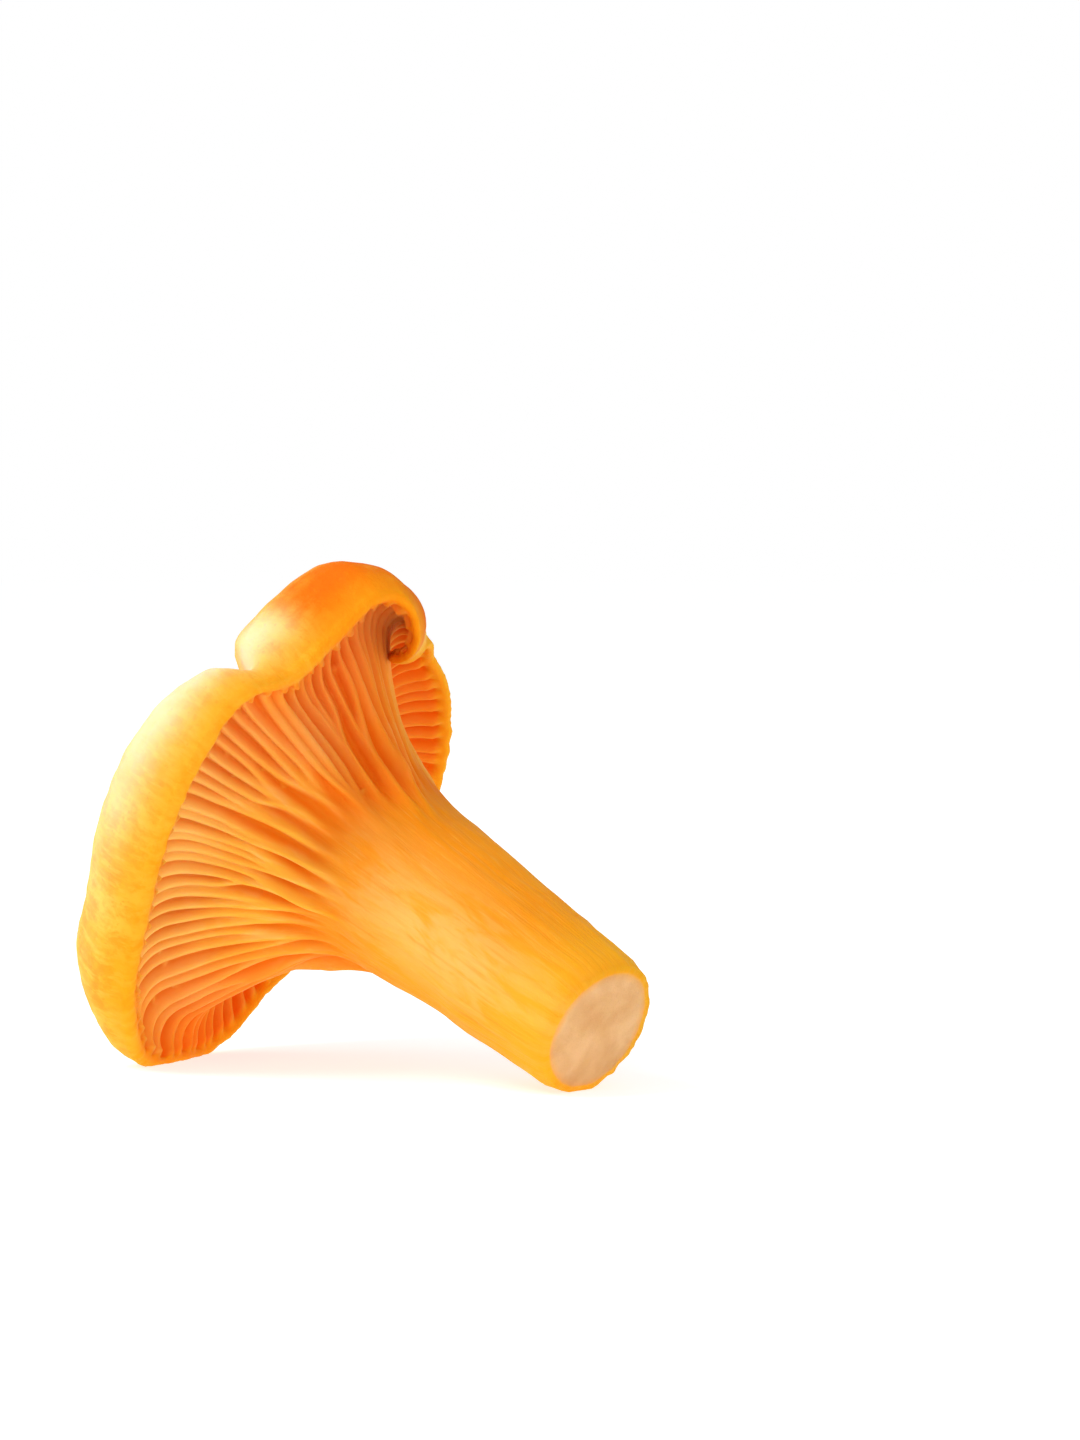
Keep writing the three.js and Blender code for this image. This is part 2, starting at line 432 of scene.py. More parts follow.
@dataclass(frozen=True)
class Growth:
    """Grows the surface grid from the outline, with columns that follow the gills."""

    outline: Outline = field(default_factory=Outline)
    columns: int = 700
    first_bearing: float = -100.0
    lip_steps: int = 1441
    even_at: float = 0.55
    even_share: float = 0.6
    flank_way: float = 0.75
    sway_over: float = 0.9

    def _lip_bearings(self, label: Array) -> Array:
        """Bearing of each column at the lip, spread evenly along the wavy margin."""
        bearing = self.first_bearing + np.linspace(0, 360, self.lip_steps)
        out, up = self.outline.point(Zone.ROLL, self.even_at, bearing)
        angle = np.radians(bearing)
        points = np.stack([out * np.cos(angle), out * np.sin(angle), up], 1)
        length = np.concatenate(
            [[0], np.cumsum(np.linalg.norm(np.diff(points, axis=0), axis=1))]
        )
        even = length / length[-1]
        plain = (bearing - self.first_bearing) / 360
        share = self.even_share * even + (1 - self.even_share) * plain
        return np.interp(label, share, bearing)

    def _down(self, zone: Zone, t: float) -> float:
        """Way from the neck, 0, to the lip, 1."""
        if zone in (Zone.CUT, Zone.STEM):
            return 0.0
        if zone is Zone.FLANK:
            return self.flank_way * t
        if zone is Zone.ROLL:
            return self.flank_way + (1 - self.flank_way) * t
        return 1.0

    def skin(self) -> Skin:
        """The smooth surface, before any relief."""
        rows = self.outline.rows()
        label = np.arange(self.columns) / self.columns
        plain = 360 * label + self.first_bearing
        at_lip = self._lip_bearings(label)
        down = np.array([self._down(zone, t) for zone, t in rows])
        sway = smooth(down / self.sway_over)[:, None]
        bearing = (1 - sway) * plain + sway * at_lip
        place = np.zeros((len(rows), self.columns, 3))
        for j, (zone, t) in enumerate(rows):
            out, up = self.outline.point(zone, t, bearing[j])
            angle = np.radians(bearing[j])
            place[j] = np.stack([out * np.cos(angle), out * np.sin(angle), up], 1)
        step = np.linalg.norm(np.diff(place, axis=0), axis=2)
        length = np.concatenate([np.zeros((1, self.columns)), np.cumsum(step, 0)])
        return Skin(rows, label, bearing, place, self._facing(place), down, length)

    def _facing(self, place: Array) -> Array:
        """Outward direction of the surface at each point."""
        across = np.roll(place, -1, 1) - np.roll(place, 1, 1)
        ahead = np.zeros_like(place)
        ahead[1:-1] = place[2:] - place[:-2]
        ahead[0], ahead[-1] = place[1] - place[0], place[-1] - place[-2]
        facing = np.cross(across, ahead)
        size = np.linalg.norm(facing, axis=2, keepdims=True)
        facing = facing / np.maximum(size, 1e-9)
        facing[0], facing[-1] = (0, 0, -1), (0, 0, 1)
        return facing


def grain(points: Array, size: Sequence[float], layers: int, seed: float) -> Array:
    """Smooth random relief, about -1 to 1.

    Args:
        points: points in millimetres, last axis x, y, z.
        size: size of the lumps along each axis, in millimetres.
        layers: how many finer layers are added.
        seed: picks the pattern.

    Returns:
        One value a point, in the shape of points without its last axis.
    """
    flat = points.reshape(-1, 3) / np.asarray(size, float) + seed
    values = [
        noise.fractal(Vector(p), 0.8, 2.1, layers, noise_basis="PERLIN_NEW")
        for p in flat
    ]
    return np.array(values).reshape(points.shape[:-1])


# -------------------------------------------------------------- relief


@dataclass(frozen=True)
class FalseGills:
    """Blunt forked ridges under the cap, running down to the stem, with cross-veins."""

    trunks: int = 33
    at_lip: int = 84
    rise: float = 1.3
    sink: float = 0.42
    half_width: float = 0.6
    edge_power: float = 2.6
    merge_power: int = 4
    unevenness: float = 0.12
    first_up: float = 27.0
    first_range: tuple[float, float] = (-1.2, 4.5)
    fade_length: float = 9.0
    own_jitter: float = 0.14
    trunk_evenness: float = 0.65
    fork_start: tuple[float, float] = (0.0, 0.4)
    fork_length: tuple[float, float] = (0.22, 0.4)
    sway: float = 0.1
    shiver: float = 0.03
    lip_clear: float = 0.5
    far_clear: float = 1.2
    stop_length: float = 0.6
    room: float = 3.8
    plain_crest: float = 0.7
    veins: int = 60
    vein_share: float = 0.4
    vein_half_width: float = 0.3
    vein_slant: float = 0.035
    vein_down: tuple[float, float] = (0.25, 0.93)
    vein_gap: tuple[float, float] = (0.45, 2.2)
    seed: int = 11

    def _forks(self) -> list[tuple[float, float, float, float, float]]:
        """Each ridge's trunk place, own place, fork start, fork length and first height."""
        pick = np.random.default_rng(self.seed)
        threes = self.at_lip - 2 * self.trunks
        sizes = np.array([3] * threes + [2] * (self.trunks - threes))
        pick.shuffle(sizes)
        ridges = []
        k = 0
        for trunk, size in enumerate(sizes):
            stray = self.own_jitter
            own = [k + i + 0.5 + pick.uniform(-stray, stray) for i in range(size)]
            k += size
            even = (trunk + 0.5) * self.at_lip / self.trunks
            share = self.trunk_evenness
            stem_place = share * even + (1 - share) * float(np.mean(own))
            first = self.first_up + pick.uniform(*self.first_range)
            for place in own:
                start = pick.uniform(*self.fork_start)
                length = pick.uniform(*self.fork_length)
                ridges.append((stem_place, place, start, length, first))
        return ridges

    def _line(self, ridge: tuple[float, ...], down: Array, phase: float) -> Array:
        """Place of one ridge round the mushroom at each row, in ridge spacings."""
        trunk, own, start, length, _ = ridge
        away = smooth((down - start) / length)
        wave = self.sway * np.sin(6 * down + phase)
        wave = wave + self.shiver * np.sin(19 * down + 2 * phase)
        return trunk + (own - trunk) * away + wave * np.minimum(1, 2 * down)

    def _stop(self, skin: Skin, far: Array) -> Array:
        """1 on the gilled side, easing to 0 on the plain band next to the lip."""
        clear = self.lip_clear + (self.far_clear - self.lip_clear) * far
        return smooth((-skin.from_lip() - clear) / (self.stop_length * (1 + far)))

    def relief(
        self, skin: Skin, curl: Array, far: Array
    ) -> tuple[Array, Array, Array]:
        """Ridges over the whole grid.

        Args:
            skin: the smooth surface.
            curl: radius of the margin's roll at each point, in millimetres.
            far: 1 on the thin lobes behind the stem, 0 on the fleshy ones.

        Returns:
            Height to add, how far up a ridge each point is, 0 to 1, and how much
            of the gilled area it belongs to, 0 to 1.
        """
        shape = skin.bearing.shape
        ridged = skin.in_zone(Zone.FLANK, Zone.ROLL)
        down = skin.down[ridged][:, None]
        up = skin.place[ridged, :, 2]
        spot = skin.label[None, :] * self.at_lip
        spacing = skin.column_gap()[ridged] * len(skin.label) / self.at_lip
        pick = np.random.default_rng(self.seed + 1)
        ridges = self._forks()
        phases = pick.uniform(0, 2 * math.pi, len(ridges))
        lines = [self._line(r, down, p) for r, p in zip(ridges, phases)]
        total = np.zeros_like(up)
        for ridge, line, phase in zip(ridges, lines, phases):
            apart = (spot - line + self.at_lip / 2) % self.at_lip - self.at_lip / 2
            width = self.half_width * (1 + self.unevenness * np.sin(7 * down + phase))
            crest = np.exp(-np.abs(apart * spacing / width) ** self.edge_power)
            begun = smooth((up - ridge[4]) / self.fade_length)
            height = 1 + self.unevenness * np.sin(5 * down + 3 * phase)
            total += (crest * begun * height) ** self.merge_power
        ridge_height = total ** (1 / self.merge_power)
        vein_height = self._veins(ridges, lines, spot, down, skin, ridged)
        begun = smooth((up - self.first_up) / self.fade_length)
        ridge_height = np.maximum(ridge_height, vein_height * begun)
        stop = self._stop(skin, far)[ridged]
        room = np.minimum(1, curl[ridged] / self.room) ** 1.1
        scale = self.rise * stop * room
        height, crest, gilled = (np.zeros(shape) for _ in range(3))
        height[ridged] = scale * (ridge_height - self.sink * begun)
        clear_crest = np.clip(ridge_height, 0, 1) - self.plain_crest
        crest[ridged] = self.plain_crest + clear_crest * begun * stop
        gilled[ridged] = begun * stop
        return height, crest, gilled

    def _veins(
        self,
        ridges: list[tuple[float, ...]],
        lines: list[Array],
        spot: Array,
        down: Array,
        skin: Skin,
        ridged: Array,
    ) -> Array:
        """Low cross-veins between neighbouring ridges, as a share of a ridge's height."""
        pick = np.random.default_rng(self.seed + 2)
        step = np.linalg.norm(np.diff(skin.place[ridged], axis=0), axis=2)
        per_down = np.median(step) / np.median(np.diff(down[:, 0]))
        height = np.zeros((len(ridged), len(skin.label)))
        for _ in range(self.veins):
            k = int(pick.integers(len(ridges)))
            left, right = lines[k], lines[(k + 1) % len(ridges)]
            gap = (right - left) % self.at_lip
            at = pick.uniform(*self.vein_down)
            slant = pick.uniform(-self.vein_slant, self.vein_slant)
            part = ((spot - left) % self.at_lip) / np.maximum(gap, 1e-3)
            between = (part < 1.0) & (gap > self.vein_gap[0]) & (gap < self.vein_gap[1])
            off = (down - at - slant * (part - 0.5)) * per_down
            vein = self.vein_share * np.exp(-((off / self.vein_half_width) ** 2))
            height = np.maximum(height, np.where(between, vein, 0.0))
        return height


@dataclass(frozen=True)
class CapSkin:
    """The dry skin on top of the cap: soft lumps, fine wrinkles, a slightly ragged lip."""

    lump_size: float = 8.0
    lump_rise: float = 0.3
    dimple_size: float = 2.2
    dimple_rise: float = 0.06
    wrinkle_width: float = 1.7
    wrinkle_length: float = 9.0
    wrinkle_rise: float = 0.06
    full_flesh: float = 3.5
    lip_fade: float = 0.3
    hollow_fade: float = 0.25
    hollow_extra: float = 1.4
    ragged: float = 0.17
    rag_size: float = 1.5
    rag_radius: float = 27.0

    def relief(self, skin: Skin, flesh: Array) -> Array:
        """Height to add over the whole grid, in millimetres."""
        height = np.zeros(skin.bearing.shape)
        rows = skin.in_zone(Zone.LIP, Zone.BACK, Zone.TOP)
        points = skin.place[rows]
        lumps = grain(points, (self.lump_size,) * 3, layers=2, seed=3.7)
        dimples = grain(points, (self.dimple_size,) * 3, layers=2, seed=9.1)
        thick = np.minimum(1, flesh[rows] / self.full_flesh)
        fade = np.array([self._fade(*skin.rows[i]) for i in rows])[:, None]
        wide, long = self.wrinkle_width, self.wrinkle_length
        wrinkles = grain(skin.fibre()[rows], (wide, wide, long), layers=2, seed=17.5)
        height[rows] = fade * thick * (
            self.lump_rise * lumps
            + self.dimple_rise * dimples
            + self.wrinkle_rise * wrinkles
        )
        lips = skin.in_zone(Zone.LIP)
        angle = 2 * math.pi * skin.label
        ring = self.rag_radius * np.stack([np.cos(angle), np.sin(angle), 0 * angle], 1)
        rag = grain(ring, (self.rag_size,) * 3, layers=3, seed=21.3)
        for i in lips:
            swell = math.sin(math.pi * skin.rows[i][1])
            height[i] += self.ragged * swell * rag
        return height

    def _fade(self, zone: Zone, t: float) -> float:
        """How much of the relief a row carries."""
        if zone is Zone.LIP:
            return 0.0
        if zone is Zone.BACK:
            return float(smooth((1 - t) / self.lip_fade))
        ease = self.hollow_fade
        inner = smooth(t / ease) * (1 - smooth((t - 1 + ease) / ease))
        return float(1.0 + self.hollow_extra * inner)


@dataclass(frozen=True)
class StemSkin:
    """The stem's surface: shallow dents and ribs along it, an uneven cut edge."""

    rib_width: float = 1.5
    rib_length: float = 16.0
    rib_rise: float = 0.15
    dent_size: float = 7.0
    dent_rise: float = 0.3
    edge_size: float = 1.6
    edge_rise: float = 0.2
    edge_reach: float = 1.2
    begin_over: float = 1.5
    calm_share: float = 0.75
    calm_from: float = 29.0
    calm_over: float = 8.0

    def relief(self, skin: Skin) -> Array:
        """Height to add over the whole grid, in millimetres."""
        height = np.zeros(skin.bearing.shape)
        rows = skin.in_zone(Zone.STEM, Zone.FLANK)
        points = skin.place[rows]
        up = points[..., 2]
        rib = (self.rib_width, self.rib_width, self.rib_length)
        ribs = grain(points, rib, layers=2, seed=5.2)
        dents = grain(points, (self.dent_size,) * 3, layers=2, seed=14.6)
        edge = grain(points, (self.edge_size,) * 3, layers=2, seed=31.0)
        near_cut = np.exp(-((up / self.edge_reach) ** 2))
        calm = self.calm_share * smooth((up - self.calm_from) / self.calm_over)
        fade = smooth(up / self.begin_over) * (1 - calm)
        height[rows] = fade * (self.rib_rise * ribs + self.dent_rise * dents)
        height[rows] += self.edge_rise * near_cut * edge
        return height


@dataclass(frozen=True)
class CutFace:
    """The knife's cut across the stem: nearly flat, slightly domed, finely torn."""

    dome: float = 0.35
    tear_size: float = 1.9
    tear_stretch: float = 1.8
    tear_depth: float = 2.0
    tear_rise: float = 0.09

    def relief(self, skin: Skin) -> Array:
        """Height to add over the whole grid, in millimetres."""
        height = np.zeros(skin.bearing.shape)
        rows = skin.in_zone(Zone.CUT)
        points = skin.place[rows]
        tear = (self.tear_size, self.tear_size * self.tear_stretch, self.tear_depth)
        tears = grain(points, tear, layers=3, seed=41.0)
        share = np.array([skin.rows[i][1] for i in rows])[:, None]
        height[rows] = self.dome * (1 - share**2) + self.tear_rise * tears
        height[0] = height[0].mean()
        return height


# ------------------------------------------------------------- the piece


@dataclass(frozen=True)
class Colouring:
    """Where on the surface each change of colour lies, in degrees and millimetres.

    Distances from the lip are along the surface and minus on the gilled side.
    """

    far: Arc = Arc(95.0, 12.0, 256.0, 18.0)
    far_down: float = 0.28
    far_ease: float = 0.35
    skin_from: float = 0.7
    band_clear: float = 1.0
    band_far_clear: float = 1.2
    band_ease: float = 0.6
    band_reach: float = 5.5
    # Painted shade, orange, on the skin of the upper fold near the lip.
    cap_shade: Arc = Arc(33.0, 12.0, 72.0, 22.0)
    cap_shade_reach: float = 15.5
    cap_shade_ease: float = 9.0
    # Pale skin on the shoulder, strongest on one side: partly its own colour, partly a
    # painted highlight.
    shoulder: Side = Side(10.0, 34.0)
    shoulder_least: float = 0.12
    shoulder_away: float = 8.0
    shoulder_half: float = 4.2
    # Painted shade, orange, on the gills and stem near the curl, and a weaker patch low on
    # the other side.
    orange_shade: Side = Side(50.0, 50.0)
    low_orange_shade: Side = Side(-94.0, 20.0)
    low_orange_shade_share: float = 0.6
    # Painted light: the gills next to the lip are made paler.
    rimward_away: float = -10.0
    rimward_half: float = 5.5
    worn: Side = Side(-8.0, 38.0)

    def thin(self, skin: Skin) -> Array:
        """1 on the thin lobes behind and below the stem, 0 on the fleshy ones."""
        return self.far.share(skin.bearing % 360)

    def _zones(self, skin: Skin) -> dict[str, Array]:
        """Marks that follow the rows: cap, cut, hollow and is_cut."""
        names = ("cap", "cut", "hollow", "is_cut")
        marks = {name: np.zeros(skin.bearing.shape) for name in names}
        for i, (zone, t) in enumerate(skin.rows):
            if zone is Zone.CUT:
                marks["cut"][i] = 1 - t
                marks["is_cut"][i] = 1.0
            elif zone is Zone.LIP:
                marks["cap"][i] = smooth(t / self.skin_from)
            elif zone is Zone.BACK:
                marks["cap"][i] = 1.0
            elif zone is Zone.TOP:
                marks["cap"][i] = 1.0
                marks["hollow"][i] = t
        return marks

    def marks(self, skin: Skin) -> dict[str, Array]:
        """What the finish reads off the surface.

        Args:
            skin: the smooth surface.

        Returns:
            For each mark, a value at each point. cap is 1 on the cap's skin, is_cut on
            the cut, hollow rises to 1 in the middle of the top and cut in the middle of
            the cut. lip is the plain band next to the lip, rimward the gills near it,
            which are painted lighter, and far the gills of the thin lobes, painted deep
            orange as shade with light shining through. blush is painted shade on the skin,
            flush painted shade on gills and stem, both orange, shoulder pale skin with a
            painted highlight on one side, and worn the stem's pale side.
        """
        marks = self._zones(skin)
        thin = self.thin(skin)
        away = skin.from_lip()
        bearing = (skin.bearing + 180) % 360 - 180
        clear = self.band_clear + self.band_far_clear * thin
        begun = smooth((away + clear) / (self.band_ease * clear))
        marks["lip"] = begun * (1 - smooth(away / self.band_reach))
        # Painted shade, orange, on the upper fold's skin.
        near = smooth((self.cap_shade_reach - away) / self.cap_shade_ease)
        marks["cap_shade"] = self.cap_shade.share(bearing) * near
        # Pale shoulder: partly the skin's own colour, partly a painted highlight.
        belt = np.exp(-(((away - self.shoulder_away) / self.shoulder_half) ** 2))
        least = self.shoulder_least
        side = least + (1 - least) * self.shoulder.share(bearing)
        marks["shoulder"] = belt * side * (1 - marks["cap_shade"])
        # Painted shade, orange, near the curl and low on the other side.
        low = self.low_orange_shade_share * self.low_orange_shade.share(bearing)
        marks["orange_shade"] = self.orange_shade.share(bearing) + low
        # Painted light on the gills next to the lip.
        off = (away - self.rimward_away) / self.rimward_half
        marks["rimward"] = np.exp(-(off**2))
        marks["worn"] = self.worn.share(bearing)
        # Painted shade with painted light shining through, deep orange, on the thin lobes'
        # gills.
        inner = smooth((skin.down - self.far_down) / self.far_ease)[:, None]
        marks["far"] = thin * inner * (1 - marks["cap"])
        return marks


@dataclass
class Chanterelle:
    """The whole mushroom, one grown piece."""

    growth: Growth = field(default_factory=Growth)
    gills: FalseGills = field(default_factory=FalseGills)
    cap: CapSkin = field(default_factory=CapSkin)
    stem: StemSkin = field(default_factory=StemSkin)
    cut: CutFace = field(default_factory=CutFace)
    colouring: Colouring = field(default_factory=Colouring)
    pose: RestingPose = field(default_factory=RestingPose)

    def __post_init__(self) -> None:
        """Grow the smooth surface and find where it comes to rest."""
        self.skin = self.growth.skin()
        turned = self.pose.turned(self.skin.place.reshape(-1, 3))
        self.move = self.pose.shift(turned)

    def rest_point(self, upright: Sequence[float]) -> Vector:
        """Where a point of the upright mushroom lies at rest, in metres."""
        point = self.pose.turned(np.array([upright], float))[0] + self.move
        return Vector(point * MM)

    def _blank(self, bm: bmesh.types.BMesh) -> tuple[Array, Array]:
        """Make a ball whose parallels are the rows and whose meridians are the columns.

        Args:
            bm: the empty bmesh to fill.

        Returns:
            The row and the column of each vertex.
        """
        rows, columns = len(self.skin.rows), len(self.skin.label)
        bmesh.ops.create_uvsphere(
            bm, u_segments=columns, v_segments=rows - 1, radius=1.0
        )
        ball = np.array([v.co for v in bm.verts], float)
        height = np.arccos(np.clip(-ball[:, 2], -1, 1)) / math.pi
        row = np.rint(height * (rows - 1)).astype(int)
        turn = np.arctan2(ball[:, 1], ball[:, 0]) / (2 * math.pi)
        column = np.rint(turn * columns).astype(int) % columns
        return row, column

    def build(self) -> bpy.types.Object:
        """Carry the blank to the mushroom's shape and mark what its finish needs."""
        margin = self.growth.outline.margin
        skin = self.skin
        curl = margin.at("curl", skin.bearing)
        flesh = margin.at("flesh", skin.bearing)
        thin = self.colouring.thin(skin)
        ridges, crest, gilled = self.gills.relief(skin, curl, thin)
        height = ridges + self.cap.relief(skin, flesh)
        height += self.stem.relief(skin) + self.cut.relief(skin)
        place = skin.place + skin.facing * height[..., None]
        rest = self.pose.turned(place.reshape(-1, 3)) + self.move
        rest[:, 2] = np.maximum(rest[:, 2], 0.0)
        rest = rest.reshape(place.shape) * MM
        bm = bmesh.new()
        row, column = self._blank(bm)
        for vertex, j, i in zip(bm.verts, row, column):
            vertex.co = rest[j, i]
        bmesh.ops.recalc_face_normals(bm, faces=bm.faces)
        mesh = bpy.data.meshes.new("chanterelle_flesh")
        bm.to_mesh(mesh)
        bm.free()
        mesh.polygons.foreach_set("use_smooth", [True] * len(mesh.polygons))
        piece = bpy.data.objects.new("chanterelle_flesh", mesh)
        bpy.context.scene.collection.objects.link(piece)
        marks = self.colouring.marks(skin) | {"crest": crest, "gilled": gilled}
        for name, values in marks.items():
            kept = mesh.attributes.new(name, "FLOAT", "POINT")
            kept.data.foreach_set("value", values[row, column].astype(np.float32))
        for name, points in (("grown", skin.place), ("fibre", skin.fibre())):
            kept = mesh.attributes.new(name, "FLOAT_VECTOR", "POINT")
            kept.data.foreach_set(
                "vector", points[row, column].astype(np.float32).ravel()
            )
        return piece


# --------------------------------------------------------------- finish


class Wire:
    """A node's socket that shader maths can be written with."""

    def __init__(self, bench: "Bench", socket: bpy.types.NodeSocket) -> None:
        """Wrap one output socket."""
        self.bench = bench
        self.socket = socket

    def _math(self, operation: str, *values: "Wire | float") -> "Wire":
        """Add one Math node."""
        inputs = dict(enumerate(values))
        made = self.bench.lay("ShaderNodeMath", {"operation": operation}, inputs)
        return Wire(self.bench, made.outputs[0])

    def __add__(self, other: "Wire | float") -> "Wire":
        """Sum."""
        return self._math("ADD", self, other)

    __radd__ = __add__

    def __mul__(self, other: "Wire | float") -> "Wire":
        """Product."""
        return self._math("MULTIPLY", self, other)

    __rmul__ = __mul__

    def __sub__(self, other: "Wire | float") -> "Wire":
        """Difference."""
        return self._math("SUBTRACT", self, other)

    def __rsub__(self, other: "Wire | float") -> "Wire":
        """Difference, the other way round."""
        return self._math("SUBTRACT", other, self)

    def eased(self, low: float, high: float) -> "Wire":
        """0 below low, 1 above high, eased between them."""
        made = self.bench.lay(
            "ShaderNodeMapRange",
            {"interpolation_type": "SMOOTHSTEP"},
            {"Value": self, "From Min": low, "From Max": high},
        )
        return Wire(self.bench, made.outputs[0])


class Bench:
    """A node tree, and the few ways nodes are added to it."""

    def __init__(self, tree: bpy.types.NodeTree) -> None:
        """Empty the tree."""
        self.tree = tree
        tree.nodes.clear()

    def lay(
        self, kind: str, settings: dict | None = None, inputs: dict | None = None
    ) -> bpy.types.Node:
        """Add a node.

        Args:
            kind: the node's type.
            settings: its own settings, set first.
            inputs: value or Wire for each socket, by name or place.

        Returns:
            The node.
        """
        made = self.tree.nodes.new(kind)
        for name, value in (settings or {}).items():
            setattr(made, name, value)
        for name, value in (inputs or {}).items():
            socket = made.inputs[name]
            if isinstance(value, Wire):
                self.tree.links.new(value.socket, socket)
            else:
                socket.default_value = value
        return made

    def mark(self, name: str) -> Wire:
        """A value marked on the mesh."""
        made = self.lay("ShaderNodeAttribute", {"attribute_name": name})
        return Wire(self, made.outputs["Fac"])

    def place(self, name: str, across: float = 1.0, along: float | None = None) -> Wire:
        """A place marked on the mesh, in units of these sizes in millimetres."""
        made = self.lay("ShaderNodeAttribute", {"attribute_name": name})
        wide, long = 1 / across, 1 / (along or across)
        sized = self.lay(
            "ShaderNodeVectorMath",
            {"operation": "MULTIPLY"},
            {0: Wire(self, made.outputs["Vector"]), 1: (wide, wide, long)},
        )
        return Wire(self, sized.outputs[0])

    def speckle(
        self, place: Wire, detail: float = 2.0, roughness: float = 0.5, warp: float = 0.0
    ) -> Wire:
        """Smooth noise, about 0.25 to 0.75, with lumps one unit of place across."""
        made = self.lay(
            "ShaderNodeTexNoise",
            {"noise_dimensions": "3D"},
            {
                "Vector": place,
                "Scale": 1.0,
                "Detail": detail,
                "Roughness": roughness,
                "Distortion": warp,
            },
        )
        return Wire(self, made.outputs[0])

    def cells(self, place: Wire) -> Wire:
        """Distance to the nearest of many scattered points."""
        made = self.lay("ShaderNodeTexVoronoi", None, {"Vector": place, "Scale": 1.0})
        return Wire(self, made.outputs["Distance"])

    def blend(self, share: Wire | float, under: Wire | Colour, over: Wire | Colour) -> Wire:
        """Colour that goes from under to over as share goes from 0 to 1."""

        def full(colour: Wire | Colour) -> Wire | tuple:
            """A colour with its fourth number."""
            return colour if isinstance(colour, Wire) else (*colour, 1.0)

        made = self.lay(
            "ShaderNodeMix",
            {"data_type": "RGBA"},
            {0: share, 6: full(under), 7: full(over)},
        )
        return Wire(self, made.outputs[2])


